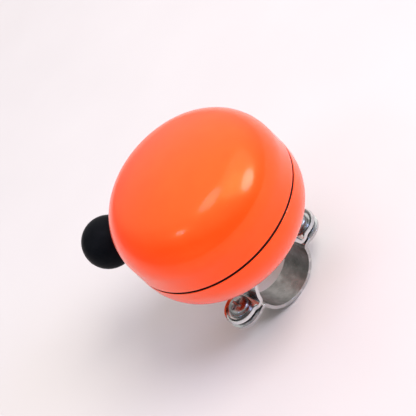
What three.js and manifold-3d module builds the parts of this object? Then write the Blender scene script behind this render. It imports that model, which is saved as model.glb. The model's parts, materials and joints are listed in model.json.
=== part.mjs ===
// A double-dome bicycle bell: two gong domes, a geared thumb-lever mechanism between them, and a
// two-screw steel clamp for a 22.2 mm handlebar.
// Units are millimetres. The origin is where the handlebar axis (Y) crosses the bell axis (Z).
// +Z points to the top dome, and the clamp's ears lie along X.

import * as THREE from "three";
import { mergeVertices } from "three/addons/utils/BufferGeometryUtils.js";
import Module from "manifold-3d";

const wasm = await Module();
wasm.setup();

const DEG = Math.PI / 180;
const PLAY = 0.1; // radial gap between a pin or shank and the hole it passes through

// Domes. Heights named *_BAND_H and *_DEPTH are measured from the seam plane.
const BELL_R = 30;
const SEAM_Z = 38.2;
const SEAM_GAP = 0.8;
const SHEET = 1.2;
const SHOULDER_R = 15.6;
const CROWN_R = 54;
const TOP_BAND_H = 5.85;
const TOP_DRAFT = 0.33;
const LOWER_BAND_H = 3;
const FLOOR_Z = 17.2; // underside of the flat seat in the middle of the lower dome
const DOME_SEGMENTS = 36;

// Handlebar clamp
const BAR_R = 11.1;
const CLAMP_W = 12;
const BOLT_X = 16.8;
const EAR_GAP = 1;
const EAR_RIM_H = 0.8;
const EAR_RIM_T = 0.9;
const SADDLE_TURN = 30 * DEG; // where the saddle's wall leaves the bar and runs straight up
const SADDLE_PAD_Z = 12.75; // inner face of the saddle's flat top

// Fasteners
const M4_R = 2;
const M5_R = 2.5;
const PAN_HEAD = { r: 3.8, h: 2.4 };
const BASE_HEAD = { r: 5, z: 11.4, h: 1.3 };
const RECESS = { w: 1.1, l: 4.4, depth: 0.7 };
const NUT = { flats: 7, h: 3.2 };
const SCREW_LENGTH = 8;

// Mechanism levels, bottom to top
const PLATE = { r: 22.6, z: 23.6, t: 1.5 };
const LIGHTENING_R = 3.4;
const WHEEL = { teeth: 36, module: 0.6, z: 30.2, t: 1.6 };
const ROTOR_PINION = { teeth: 12, module: 0.6, z: 29.9, t: 2.2 };
const SECTOR = { teeth: 35, module: 0.8, first: -5, last: 1 };
const LEVER = { z: 32.5, t: 1.6, halfWidth: 2.6, hubR: 4.4, tang: 2 };
const DRIVE_PINION = { teeth: 10, module: 0.8, t: 2.4 };
const ARM = { z: 38.3, t: 1.2, halfWidth: 4, pinR: 21.1 };
const STRIKER = { r: 6, holeR: 2.8, t: 2, gap: 0.3 };
const CLIP = { r: 3.3, t: 0.4 };

// Shafts
const POST = { r: 2, collarR: 4.4, collarTop: 29.6, top: 58.2 };
const PIVOT = { r: 2, at: 20, azimuth: 140.5 * DEG };
const STUD_R = 1.5;
const COLUMN_R = 2.4;
const RIVET_HEAD = { r: 1.95, h: 0.4 };
const ROTOR_SLEEVE_R = 3.1;

// Thumb knob, measured from the bell axis
const KNOB = { r: 9, at: 42, azimuth: 124.8 * DEG, z: 34.9 };

// Lever return spring
const SPRING = { meanR: 3.4, wireR: 0.4, turns: 4.55, bottom: 26.1, top: 31.8, leg: 6 };

// ---- Finishes ----

const FINISHES = {
  orangePaint: [0xff5a1c, 0.22, 0],
  blackPlastic: [0x0c0d10, 0.3, 0],
  zincSteel: [0x9ba1a3, 0.35, 1],
  springSteel: [0x6f7275, 0.3, 1],
  brass: [0xc2a05a, 0.35, 1],
  fibre: [0x1d1c1b, 0.8, 0],
};

function finish(name) {
  const [color, roughness, metalness] = FINISHES[name];
  return new THREE.MeshStandardMaterial({ color, roughness, metalness });
}

// ---- Solids ----

// A closed three.js geometry as a manifold-3d solid, ready to be joined or cut.
function solid(geometry) {
  const bare = geometry.clone();
  bare.deleteAttribute("normal");
  bare.deleteAttribute("uv");
  const merged = mergeVertices(bare, 1e-5);
  const index = merged.index.array;
  const triVerts = [];
  for (let i = 0; i < index.length; i += 3) {
    const [a, b, c] = index.slice(i, i + 3);
    if (a !== b && b !== c && c !== a) triVerts.push(a, b, c);
  }
  return new wasm.Manifold(
    new wasm.Mesh({
      numProp: 3,
      vertProperties: new Float32Array(merged.attributes.position.array),
      triVerts: new Uint32Array(triVerts),
    }),
  );
}

function part(name, body, look) {
  const { vertProperties, triVerts } = body.getMesh();
  const geometry = new THREE.BufferGeometry();
  geometry.setAttribute("position", new THREE.BufferAttribute(vertProperties, 3));
  geometry.setIndex(new THREE.BufferAttribute(triVerts, 1));
  geometry.computeVertexNormals();
  const mesh = new THREE.Mesh(geometry, finish(look));
  mesh.name = name;
  return mesh;
}

// A [radius, z] outline turned about Z. It runs up the outside and down the inside.
function turned(outline, segments = 16) {
  const points = outline.map(([r, z]) => new THREE.Vector2(r, z));
  return solid(new THREE.LatheGeometry(points, segments).rotateX(Math.PI / 2));
}

// A flat shape given thickness t upwards from z.
function plate(shape, z, t, curveSegments = 8) {
  const geometry = new THREE.ExtrudeGeometry(shape, { depth: t, bevelEnabled: false, curveSegments });
  return solid(geometry.translate(0, 0, z));
}

function box(w, l, h, x, y, z) {
  return solid(new THREE.BoxGeometry(w, l, h).translate(x, y, z));
}

function ring(outerR, innerR, z, t, segments = 16) {
  return turned(
    [
      [innerR, z],
      [outerR, z],
      [outerR, z + t],
      [innerR, z + t],
      [innerR, z],
    ],
    segments,
  );
}

function circleHole(x, y, r) {
  return new THREE.Path().absarc(x, y, r, 0, 2 * Math.PI, true);
}

function polar(r, angle) {
  return new THREE.Vector2(r * Math.cos(angle), r * Math.sin(angle));
}

// Points of an arc about (cx, cz), both ends included.
function arc(cx, cz, r, from, to, steps) {
  const points = [];
  for (let i = 0; i <= steps; i += 1) {
    const angle = from + ((to - from) * i) / steps;
    points.push([cx + r * Math.cos(angle), cz + r * Math.sin(angle)]);
  }
  return points;
}

// ---- Domes ----

// One side of a dome wall from its rim to the axis, as [radius, height above the seam plane]: a
// band, a shoulder arc and a crown arc that meets it smoothly. inset moves it in from the outside.
function domeSide(bandH, draft, inset) {
  const shoulderX = BELL_R - draft - SHOULDER_R;
  const crownZ = bandH - Math.sqrt((CROWN_R - SHOULDER_R) ** 2 - shoulderX ** 2);
  const meet = Math.atan2(bandH - crownZ, shoulderX);
  const rimR = BELL_R - inset - (draft * SEAM_GAP) / 2 / bandH;
  const shoulder = arc(shoulderX, bandH, SHOULDER_R - inset, 0, meet, 7);
  const crown = arc(0, crownZ, CROWN_R - inset, meet, Math.PI / 2, 4);
  crown[crown.length - 1][0] = 0;
  return [[rimR, SEAM_GAP / 2], ...shoulder, ...crown.slice(1)];
}

function topDome() {
  const outer = domeSide(TOP_BAND_H, TOP_DRAFT, 0);
  const inner = domeSide(TOP_BAND_H, TOP_DRAFT, SHEET);
  const outline = [...inner.reverse(), ...outer];
  return part("top_dome", turned(raised(outline, 1), DOME_SEGMENTS), "orangePaint");
}

// Heights above the seam plane become heights in the part; side -1 hangs them below it.
function raised(outline, side) {
  return outline.map(([r, h]) => [r, SEAM_Z + side * h]);
}

// The part of a lower dome's side that is above the flat z, and the point where it meets the flat.
function cutAtFlat(side, z) {
  const kept = side.filter((point) => point[1] > z);
  const [aboveR, aboveZ] = kept[kept.length - 1];
  const [belowR, belowZ] = side[kept.length];
  const share = (aboveZ - z) / (aboveZ - belowZ);
  return [...kept, [aboveR + (belowR - aboveR) * share, z]];
}

function lowerShell() {
  const holeR = M5_R + 3 * PLAY;
  const outer = cutAtFlat(raised(domeSide(LOWER_BAND_H, 0, 0), -1), FLOOR_Z);
  const inner = cutAtFlat(raised(domeSide(LOWER_BAND_H, 0, SHEET), -1), FLOOR_Z + SHEET);
  const outline = [
    [holeR, FLOOR_Z],
    ...outer.reverse(),
    ...inner,
    [holeR, FLOOR_Z + SHEET],
    [holeR, FLOOR_Z],
  ];
  const shell = turned(outline, DOME_SEGMENTS);
  return part("lower_shell", shell.subtract(leverWindow()), "orangePaint");
}

// The slot in the lower dome's wall that the lever swings in.
function leverWindow() {
  const margin = 0.8;
  const [from, to] = [122.5 * DEG, 152.5 * DEG];
  const shape = new THREE.Shape();
  shape.absarc(0, 0, BELL_R + 2, from, to, false);
  shape.absarc(0, 0, BELL_R - 6, to, from, true);
  return plate(shape, LEVER.z - margin, LEVER.t + 2 * margin);
}

function domeBoss() {
  const crownInside = SEAM_Z + domeSide(TOP_BAND_H, TOP_DRAFT, SHEET).pop()[1];
  const [r, bottom, top] = [4.2, SEAM_Z + 9, crownInside - 0.35];
  const boreR = POST.r + PLAY;
  const outline = [
    [0, POST.top + 0.4],
    [boreR, POST.top + 0.4],
    [boreR, bottom],
    [r, bottom],
    [r, top],
    [0, top],
  ];
  return part("dome_boss", turned(outline), "zincSteel");
}

// ---- Clamp ----

// The outline of both clamp halves' ears seen from above: a bar with round ends.
function earOutline(halfWidth) {
  const shape = new THREE.Shape();
  shape.absarc(BOLT_X, 0, halfWidth, -Math.PI / 2, Math.PI / 2, false);
  shape.absarc(-BOLT_X, 0, halfWidth, Math.PI / 2, 1.5 * Math.PI, false);
  return shape;
}

// A shape drawn in X and Z, as wide as the clamp along Y.
function acrossClamp(shape, curveSegments) {
  const geometry = new THREE.ExtrudeGeometry(shape, {
    depth: CLAMP_W,
    bevelEnabled: false,
    curveSegments,
  });
  return solid(geometry.translate(0, 0, -CLAMP_W / 2).rotateX(Math.PI / 2));
}

function boltHoles() {
  const [left, right] = [-BOLT_X, BOLT_X].map((x) => {
    const hole = new THREE.Shape().absarc(x, 0, M4_R + 2 * PLAY, 0, 2 * Math.PI, false);
    return plate(hole, -10, 20);
  });
  return left.add(right);
}

function trimmedToEars(band) {
  return band.intersect(plate(earOutline(CLAMP_W / 2), -20, 40)).subtract(boltHoles());
}

// The raised rim round the end of each ear.
function earRims(earTop) {
  const rim = earOutline(CLAMP_W / 2);
  rim.holes.push(earOutline(CLAMP_W / 2 - EAR_RIM_T));
  const clear = BAR_R + SHEET + 2;
  const middle = box(2 * clear, 2 * CLAMP_W, 4 * EAR_RIM_H, 0, 0, earTop);
  return plate(rim, earTop - SHEET / 2, SHEET / 2 + EAR_RIM_H).subtract(middle);
}

function clampSaddle() {
  const bottom = EAR_GAP / 2;
  const outerR = BAR_R + SHEET;
  const tip = BOLT_X + CLAMP_W;
  const padX = (r, z) => r * Math.cos(SADDLE_TURN) - (z - r * Math.sin(SADDLE_TURN)) * Math.tan(SADDLE_TURN);
  const padTop = SADDLE_PAD_Z + SHEET;
  const root = Math.asin((bottom + SHEET) / outerR);
  const foot = Math.asin(bottom / BAR_R);
  const shape = new THREE.Shape();
  shape.moveTo(tip, bottom);
  shape.lineTo(tip, bottom + SHEET);
  shape.absarc(0, 0, outerR, root, SADDLE_TURN, false);
  shape.lineTo(padX(outerR, padTop), padTop);
  shape.lineTo(-padX(outerR, padTop), padTop);
  shape.absarc(0, 0, outerR, Math.PI - SADDLE_TURN, Math.PI - root, false);
  shape.lineTo(-tip, bottom + SHEET);
  shape.lineTo(-tip, bottom);
  shape.absarc(0, 0, BAR_R, Math.PI - foot, Math.PI - SADDLE_TURN, true);
  shape.lineTo(-padX(BAR_R, SADDLE_PAD_Z), SADDLE_PAD_Z);
  shape.lineTo(padX(BAR_R, SADDLE_PAD_Z), SADDLE_PAD_Z);
  shape.absarc(0, 0, BAR_R, SADDLE_TURN, foot, true);
  const hole = new THREE.Shape().absarc(0, 0, M5_R + 2 * PLAY, 0, 2 * Math.PI, false);
  const band = trimmedToEars(acrossClamp(shape, 2).subtract(plate(hole, BAR_R, padTop)));
  return part("clamp_saddle", band.add(earRims(bottom + SHEET)), "zincSteel");
}

function clampStrap() {
  const top = -EAR_GAP / 2;
  const outerR = BAR_R + SHEET;
  const tip = BOLT_X + CLAMP_W;
  const root = Math.asin((EAR_GAP / 2 + SHEET) / outerR);
  const foot = Math.asin(EAR_GAP / 2 / BAR_R);
  const shape = new THREE.Shape();
  shape.moveTo(-tip, top);
  shape.lineTo(-tip, top - SHEET);
  shape.absarc(0, 0, outerR, Math.PI + root, 2 * Math.PI - root, false);
  shape.lineTo(tip, top - SHEET);
  shape.lineTo(tip, top);
  shape.absarc(0, 0, BAR_R, 2 * Math.PI - foot, Math.PI + foot, true);
  return part("clamp_strap", trimmedToEars(acrossClamp(shape, 9)), "zincSteel");
}

// A screw's cross recess, sunk from z towards +Z or -Z.
function crossRecess(z, side) {
  const middle = z + (side * RECESS.depth) / 2;
  const height = RECESS.depth + 0.02;
  const slot = box(RECESS.w, RECESS.l, height, 0, 0, middle);
  return slot.add(box(RECESS.l, RECESS.w, height, 0, 0, middle));
}

function clampScrew(name, x) {
  const seat = EAR_GAP / 2 + SHEET;
  const top = seat + PAN_HEAD.h;
  const outline = [
    [0, seat - SCREW_LENGTH],
    [M4_R - 0.4, seat - SCREW_LENGTH],
    [M4_R, seat - SCREW_LENGTH + 0.4],
    [M4_R, seat],
    [PAN_HEAD.r, seat],
    [PAN_HEAD.r, top - 1.1],
    [PAN_HEAD.r - 0.5, top - 0.35],
    [PAN_HEAD.r - 1.3, top],
    [0, top],
  ];
  const screw = part(name, turned(outline).subtract(crossRecess(top, -1)), "zincSteel");
  screw.position.x = x;
  return screw;
}

function clampNut(name, x) {
  const corner = NUT.flats / 2 / Math.cos(30 * DEG);
  const corners = [0, 1, 2, 3, 4, 5].map((i) => polar(corner, i * 60 * DEG));
  const shape = new THREE.Shape(corners);
  shape.holes.push(circleHole(0, 0, M4_R + PLAY));
  const nut = part(name, plate(shape, -EAR_GAP / 2 - SHEET - NUT.h, NUT.h), "zincSteel");
  nut.position.x = x;
  return nut;
}

// ---- Stack through the middle ----

function baseScrew() {
  const shoulder = BASE_HEAD.z + BASE_HEAD.h;
  const tip = POST.collarTop - 0.8;
  const outline = [
    [0, BASE_HEAD.z],
    [BASE_HEAD.r - 0.3, BASE_HEAD.z],
    [BASE_HEAD.r, BASE_HEAD.z + 0.3],
    [BASE_HEAD.r, shoulder],
    [M5_R, shoulder],
    [M5_R, tip],
    [0, tip],
  ];
  return part("base_screw", turned(outline).subtract(crossRecess(BASE_HEAD.z, 1)), "zincSteel");
}

function spacers() {
  const holeR = M5_R + 2 * PLAY;
  const padTop = SADDLE_PAD_Z + SHEET;
  const floorTop = FLOOR_Z + SHEET;
  return [
    part("spacer_washer", ring(6.4, holeR, padTop, FLOOR_Z - padTop), "fibre"),
    part("spacer_sleeve", ring(4.6, holeR, floorTop, PLATE.z - floorTop), "zincSteel"),
  ];
}

function centrePost() {
  const bottom = PLATE.z + PLATE.t;
  const boreR = M5_R + PLAY;
  const boreTop = POST.collarTop - 0.5;
  const outline = [
    [0, boreTop],
    [boreR, boreTop],
    [boreR, bottom],
    [POST.collarR, bottom],
    [POST.collarR, POST.collarTop],
    [POST.r, POST.collarTop],
    [POST.r, POST.top],
    [0, POST.top],
  ];
  return part("centre_post", turned(outline, 24), "zincSteel");
}

// ---- Gears ----

// Half the angle that a 20 degree involute tooth takes up at radius r.
function toothHalfAngle(gear, r) {
  const pitchR = (gear.teeth * gear.module) / 2;
  const baseR = pitchR * Math.cos(20 * DEG);
  const involute = (angle) => Math.tan(angle) - angle;
  const pressure = Math.acos(baseR / Math.max(r, baseR));
  const atPitch = Math.PI / 2 / gear.teeth - (0.12 * gear.module) / pitchR;
  return atPitch + involute(20 * DEG) - involute(pressure);
}

// Outline points of the teeth numbered first to last; tooth 0 points along +X.
function teethPoints(gear, first, last, addendum = 0.9) {
  const pitchR = (gear.teeth * gear.module) / 2;
  const radii = [-1.2, 0, addendum].map((share) => pitchR + share * gear.module);
  const points = [];
  for (let tooth = first; tooth <= last; tooth += 1) {
    const middle = (2 * Math.PI * tooth) / gear.teeth;
    radii.forEach((r) => points.push(polar(r, middle - toothHalfAngle(gear, r))));
    radii.reverse().forEach((r) => points.push(polar(r, middle + toothHalfAngle(gear, r))));
    radii.reverse();
  }
  return points;
}

function gearShape(gear, boreR) {
  const shape = new THREE.Shape(teethPoints(gear, 0, gear.teeth - 1));
  shape.holes.push(circleHole(0, 0, boreR));
  return shape;
}

function pitchRadius(gear) {
  return (gear.teeth * gear.module) / 2;
}

// ---- Where the shafts stand ----

const SHAFT_AT = pitchRadius(WHEEL) + pitchRadius(ROTOR_PINION);
const DRIVE_AT = pitchRadius(SECTOR) + pitchRadius(DRIVE_PINION);
const SHAFT_AZIMUTH =
  PIVOT.azimuth + Math.acos((PIVOT.at ** 2 + SHAFT_AT ** 2 - DRIVE_AT ** 2) / (2 * PIVOT.at * SHAFT_AT));
const PIVOT_POS = polar(PIVOT.at, PIVOT.azimuth);
const SHAFT_POS = polar(SHAFT_AT, SHAFT_AZIMUTH);
const KNOB_POS = polar(KNOB.at, KNOB.azimuth);
const MESH_AZIMUTH = SHAFT_POS.clone().sub(PIVOT_POS).angle();
const KNOB_REACH = KNOB_POS.distanceTo(PIVOT_POS);
const KNOB_AZIMUTH = KNOB_POS.clone().sub(PIVOT_POS).angle();
const SPRING_POST = new THREE.Vector2(4.95, -5); // beside the spring's lower leg, from the pivot

// ---- Mechanism plate and what is riveted to it ----

function mechanismPlate() {
  const shape = new THREE.Shape().absarc(0, 0, PLATE.r, 0, 2 * Math.PI, false);
  const post = SPRING_POST.clone().add(PIVOT_POS);
  shape.holes.push(circleHole(0, 0, M5_R + 2 * PLAY));
  shape.holes.push(circleHole(PIVOT_POS.x, PIVOT_POS.y, STUD_R + PLAY));
  shape.holes.push(circleHole(SHAFT_POS.x, SHAFT_POS.y, STUD_R + PLAY));
  shape.holes.push(circleHole(post.x, post.y, 0.7 + PLAY));
  for (const azimuth of [-85, -35, 15, 65]) {
    const centre = polar(14.5, azimuth * DEG);
    shape.holes.push(circleHole(centre.x, centre.y, LIGHTENING_R));
  }
  return part("mechanism_plate", plate(shape, PLATE.z, PLATE.t), "zincSteel");
}

// A stepped stud riveted through the plate: rivet head, neck, column up to the shoulder, journal.
function stud(name, journalR, shoulderZ, top, columnR = COLUMN_R) {
  const plateTop = PLATE.z + PLATE.t;
  const outline = [
    [0, PLATE.z - RIVET_HEAD.h],
    [RIVET_HEAD.r, PLATE.z - RIVET_HEAD.h],
    [RIVET_HEAD.r, PLATE.z],
    [STUD_R, PLATE.z],
    [STUD_R, plateTop],
    [columnR, plateTop],
    [columnR, shoulderZ],
    [journalR, shoulderZ],
    [journalR, top],
    [0, top],
  ];
  return part(name, turned(outline), "zincSteel");
}

function springPost() {
  const plateTop = PLATE.z + PLATE.t;
  const outline = [
    [0, PLATE.z - RIVET_HEAD.h],
    [1.1, PLATE.z - RIVET_HEAD.h],
    [1.1, PLATE.z],
    [0.7, PLATE.z],
    [0.7, plateTop],
    [1, plateTop],
    [1, plateTop + 3],
    [0, plateTop + 3],
  ];
  const post = part("spring_post", turned(outline), "zincSteel");
  post.position.set(SPRING_POST.x, SPRING_POST.y, 0);
  return post;
}

// ---- Lever ----

// The spring's wire: a straight leg, a rising coil about the pivot, and a second straight leg.
class SpringWire extends THREE.Curve {
  getPoint(t) {
    const coil = 2 * Math.PI * SPRING.meanR * SPRING.turns;
    const along = t * (coil + 2 * SPRING.leg) - SPRING.leg;
    const turn = THREE.MathUtils.clamp(along / SPRING.meanR, 0, 2 * Math.PI * SPRING.turns);
    const straight = along - turn * SPRING.meanR;
    const rise = turn / (2 * Math.PI * SPRING.turns);
    return new THREE.Vector3(
      SPRING.meanR * Math.cos(turn) - straight * Math.sin(turn),
      SPRING.meanR * Math.sin(turn) + straight * Math.cos(turn),
      SPRING.bottom + (SPRING.top - SPRING.bottom) * rise,
    );
  }
}

function leverSpring() {
  const section = new THREE.Shape().absarc(0, 0, SPRING.wireR, 0, 2 * Math.PI, false);
  const geometry = new THREE.ExtrudeGeometry(section, {
    steps: 56,
    curveSegments: 3,
    extrudePath: new SpringWire(),
  });
  return part("lever_spring", solid(geometry), "springSteel");
}

// The lever is drawn about its pivot with the middle of tooth 0 along +X.
function thumbLever() {
  const rootR = pitchRadius(SECTOR) - SECTOR.module;
  const pitchAngle = (2 * Math.PI) / SECTOR.teeth;
  const [from, to] = [(SECTOR.first - 0.6) * pitchAngle, (SECTOR.last + 0.6) * pitchAngle];
  const teeth = new THREE.Shape([
    new THREE.Vector2(0, 0),
    polar(rootR, from),
    ...teethPoints(SECTOR, SECTOR.first, SECTOR.last, 0.8),
    polar(rootR, to),
  ]);
  const hub = new THREE.Shape().absarc(0, 0, LEVER.hubR, 0, 2 * Math.PI, false);
  const reach = KNOB_REACH + LEVER.tang;
  const strip = new THREE.Shape([
    new THREE.Vector2(0, -LEVER.hubR + 0.4),
    new THREE.Vector2(reach, -LEVER.halfWidth),
    new THREE.Vector2(reach, LEVER.halfWidth),
    new THREE.Vector2(0, LEVER.hubR - 0.4),
  ]);
  const arm = new THREE.ExtrudeGeometry(strip, { depth: LEVER.t, bevelEnabled: false });
  arm.rotateZ(KNOB_AZIMUTH - MESH_AZIMUTH).translate(0, 0, LEVER.z);
  const bore = new THREE.Shape().absarc(0, 0, PIVOT.r + PLAY, 0, 2 * Math.PI, false);
  const blank = plate(teeth, LEVER.z, LEVER.t).add(plate(hub, LEVER.z, LEVER.t)).add(solid(arm));
  const lever = part("thumb_lever", blank.subtract(plate(bore, LEVER.z - 1, LEVER.t + 2)), "zincSteel");
  lever.rotation.z = MESH_AZIMUTH;
  return lever;
}

// The ball is drawn about its own centre with the pivot towards -X.
function leverKnob() {
  const ball = solid(new THREE.SphereGeometry(KNOB.r, 22, 12).rotateX(Math.PI / 2));
  const depth = KNOB.r + LEVER.tang + 0.4;
  const width = 2 * LEVER.halfWidth + 1.2;
  const middleZ = LEVER.z + LEVER.t / 2 - KNOB.z;
  const pocket = box(depth, width, LEVER.t + 0.4, depth / 2 - KNOB.r, 0, middleZ);
  const knob = part("lever_knob", ball.subtract(pocket), "blackPlastic");
  knob.position.set(KNOB_REACH * Math.cos(KNOB_AZIMUTH), KNOB_REACH * Math.sin(KNOB_AZIMUTH), KNOB.z);
  knob.rotation.z = KNOB_AZIMUTH;
  return knob;
}

function leverGroup() {
  const group = new THREE.Group();
  const leverTop = LEVER.z + LEVER.t;
  group.position.set(PIVOT_POS.x, PIVOT_POS.y, 0);
  group.add(
    stud("lever_pivot", PIVOT.r, LEVER.z - 0.2, leverTop + 0.7),
    part("lever_clip", ring(CLIP.r, PIVOT.r + 0.05, leverTop + 0.15, CLIP.t), "springSteel"),
    springPost(),
    leverSpring(),
    thumbLever(),
    leverKnob(),
  );
  return group;
}

// ---- Intermediate shaft ----

function intermediateGroup() {
  const group = new THREE.Group();
  const wheelTop = WHEEL.z + WHEEL.t;
  const pinionTop = wheelTop + DRIVE_PINION.t;
  const spigotR = 2.5;
  const boreR = STUD_R + PLAY;
  const wheel = part("intermediate_wheel", plate(gearShape(WHEEL, spigotR + PLAY), WHEEL.z, WHEEL.t), "brass");
  wheel.rotation.z = SHAFT_AZIMUTH + Math.PI;
  const teeth = plate(gearShape(DRIVE_PINION, boreR), wheelTop, DRIVE_PINION.t);
  const spigot = ring(spigotR, boreR, WHEEL.z - 0.3, WHEEL.t + 0.5);
  const pinion = part("intermediate_pinion", teeth.add(spigot), "zincSteel");
  pinion.rotation.z = MESH_AZIMUTH + Math.PI + Math.PI / DRIVE_PINION.teeth;
  group.position.set(SHAFT_POS.x, SHAFT_POS.y, 0);
  group.add(
    stud("intermediate_stud", STUD_R, WHEEL.z - 0.6, pinionTop + 0.7),
    part("intermediate_clip", ring(2.8, STUD_R + 0.05, pinionTop + 0.15, CLIP.t), "springSteel"),
    wheel,
    pinion,
  );
  return group;
}

// ---- Rotor ----

function rotorPinion() {
  const boreR = POST.r + PLAY;
  const pinionTop = ROTOR_PINION.z + ROTOR_PINION.t;
  const outline = [
    [boreR, pinionTop - 0.2],
    [ROTOR_SLEEVE_R, pinionTop - 0.2],
    [ROTOR_SLEEVE_R, ARM.z],
    [ROTOR_SLEEVE_R - 0.5, ARM.z],
    [ROTOR_SLEEVE_R - 0.5, ARM.z + ARM.t + 0.3],
    [boreR, ARM.z + ARM.t + 0.3],
    [boreR, pinionTop - 0.2],
  ];
  const teeth = plate(gearShape(ROTOR_PINION, boreR), ROTOR_PINION.z, ROTOR_PINION.t);
  const pinion = part("rotor_pinion", teeth.add(turned(outline, 24)), "brass");
  pinion.rotation.z = SHAFT_AZIMUTH + Math.PI / ROTOR_PINION.teeth;
  return pinion;
}

function rotorArm() {
  const shape = new THREE.Shape();
  shape.absarc(ARM.pinR, 0, ARM.halfWidth, -Math.PI / 2, Math.PI / 2, false);
  shape.absarc(-ARM.pinR, 0, ARM.halfWidth, Math.PI / 2, 1.5 * Math.PI, false);
  shape.holes.push(circleHole(0, 0, ROTOR_SLEEVE_R - 0.5 + PLAY));
  shape.holes.push(circleHole(ARM.pinR, 0, STUD_R + PLAY));
  shape.holes.push(circleHole(-ARM.pinR, 0, STUD_R + PLAY));
  return part("rotor_arm", plate(shape, ARM.z, ARM.t), "zincSteel");
}

// A headed pin through one end of the arm, drawn pointing up from the arm's mid-plane. side -1
// turns it over, so that its disc hangs under the arm.
function strikerPin(name, x, side) {
  const half = ARM.t / 2;
  const headZ = half + 2 * STRIKER.gap + STRIKER.t - 0.1;
  const outline = [
    [0, -half - 0.4],
    [2.4, -half - 0.4],
    [2.4, -half],
    [STUD_R, -half],
    [STUD_R, headZ],
    [3.6, headZ],
    [3.6, headZ + 0.7],
    [0, headZ + 0.7],
  ];
  const pin = part(name, turned(outline), "zincSteel");
  pin.position.set(x, 0, ARM.z + half);
  pin.rotation.x = side > 0 ? 0 : Math.PI;
  return pin;
}

function strikerDisc(name, x, side) {
  const disc = part(name, ring(STRIKER.r, STRIKER.holeR, -STRIKER.t / 2, STRIKER.t), "springSteel");
  const offset = ARM.t / 2 + STRIKER.gap + STRIKER.t / 2;
  disc.position.set(x, 0, ARM.z + ARM.t / 2 + side * offset);
  return disc;
}

function rotorGroup() {
  const crossbar = new THREE.Group();
  crossbar.rotation.z = 55.5 * DEG;
  crossbar.add(
    rotorArm(),
    strikerPin("rotor_pin_upper", ARM.pinR, 1),
    strikerPin("rotor_pin_lower", -ARM.pinR, -1),
    strikerDisc("striker_upper", ARM.pinR, 1),
    strikerDisc("striker_lower", -ARM.pinR, -1),
  );
  const clipZ = ARM.z + ARM.t + 0.5;
  const clip = part("rotor_clip", ring(CLIP.r, POST.r + 0.05, clipZ, CLIP.t), "springSteel");
  const group = new THREE.Group();
  group.add(rotorPinion(), crossbar, clip);
  return group;
}

// ---- Assembly ----

const bell = new THREE.Group();
bell.add(
  topDome(),
  domeBoss(),
  lowerShell(),
  centrePost(),
  baseScrew(),
  ...spacers(),
  clampSaddle(),
  clampStrap(),
  clampScrew("clamp_screw_left", -BOLT_X),
  clampScrew("clamp_screw_right", BOLT_X),
  clampNut("clamp_nut_left", -BOLT_X),
  clampNut("clamp_nut_right", BOLT_X),
  mechanismPlate(),
  leverGroup(),
  intermediateGroup(),
  rotorGroup(),
);

export default bell;
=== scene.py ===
"""A double-dome bicycle bell in orange enamel, with a black ball lever and a zinc-plated clamp.

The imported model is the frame. Every piece below takes its place from the frame's boxes and joints.
Lengths are in metres; MM turns millimetres into metres.
"""

import json
import math

import bmesh
import bpy
from mathutils import Matrix, Vector


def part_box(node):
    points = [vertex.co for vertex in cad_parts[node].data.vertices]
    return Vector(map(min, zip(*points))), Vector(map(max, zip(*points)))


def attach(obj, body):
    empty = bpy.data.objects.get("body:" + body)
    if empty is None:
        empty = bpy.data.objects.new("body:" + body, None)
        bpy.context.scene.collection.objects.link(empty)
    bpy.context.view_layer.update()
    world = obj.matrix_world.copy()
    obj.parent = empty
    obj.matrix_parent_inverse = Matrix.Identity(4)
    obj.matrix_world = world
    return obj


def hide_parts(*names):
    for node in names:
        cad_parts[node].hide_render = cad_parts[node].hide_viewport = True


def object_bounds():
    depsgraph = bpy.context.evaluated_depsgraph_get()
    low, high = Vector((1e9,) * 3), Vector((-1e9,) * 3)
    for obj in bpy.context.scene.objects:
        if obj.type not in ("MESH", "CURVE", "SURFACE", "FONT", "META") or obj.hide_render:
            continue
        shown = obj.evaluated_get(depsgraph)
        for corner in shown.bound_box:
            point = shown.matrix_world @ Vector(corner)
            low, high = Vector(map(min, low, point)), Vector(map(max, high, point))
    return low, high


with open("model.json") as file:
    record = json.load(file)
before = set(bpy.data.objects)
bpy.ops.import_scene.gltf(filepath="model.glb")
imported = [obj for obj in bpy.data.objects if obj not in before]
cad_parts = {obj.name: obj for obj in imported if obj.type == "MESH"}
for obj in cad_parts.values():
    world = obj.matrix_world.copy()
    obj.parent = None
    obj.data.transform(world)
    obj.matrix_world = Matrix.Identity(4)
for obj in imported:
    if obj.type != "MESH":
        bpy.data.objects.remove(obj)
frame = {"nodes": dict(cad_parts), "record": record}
cad_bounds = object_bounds()

MM = 0.001
DEG = math.pi / 180

# ---- Driving dimensions, read from the frame where it has them ----

dome_low, dome_high = (Vector(corner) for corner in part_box("top_dome"))
shell_low, shell_high = (Vector(corner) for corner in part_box("lower_shell"))
knob_low, knob_high = (Vector(corner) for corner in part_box("lever_knob"))
saddle_high = Vector(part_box("clamp_saddle")[1])
strap_high = Vector(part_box("clamp_strap")[1])
lever_low, lever_high = (Vector(corner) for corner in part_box("thumb_lever"))
joints = {joint["name"]: joint for joint in frame["record"]["behaviour"]["joints"]}

BELL_R = dome_high.x
SEAM_Z = (dome_low.z + shell_high.z) / 2
SEAM_GAP = dome_low.z - shell_high.z
SHEET = 1.2 * MM
SHOULDER_R = 15.6 * MM
CROWN_R = 54 * MM
TOP_BAND_H = 5.85 * MM
TOP_DRAFT = 0.33 * MM
LOWER_BAND_H = 3 * MM
HOLE_R = 2.8 * MM
RIM_ROUND = 0.25 * MM
# Inwards of PAINT_EDGE the rim is painted near-black, as painted shade in the seam gap.
PAINT_EDGE = 0.12 * MM  # how far the orange reaches inwards over the rim

KNOB_CENTRE = (knob_low + knob_high) / 2
KNOB_R = 9 * MM
PIVOT = Vector(joints["lever_swing"]["pos_m"])

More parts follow.
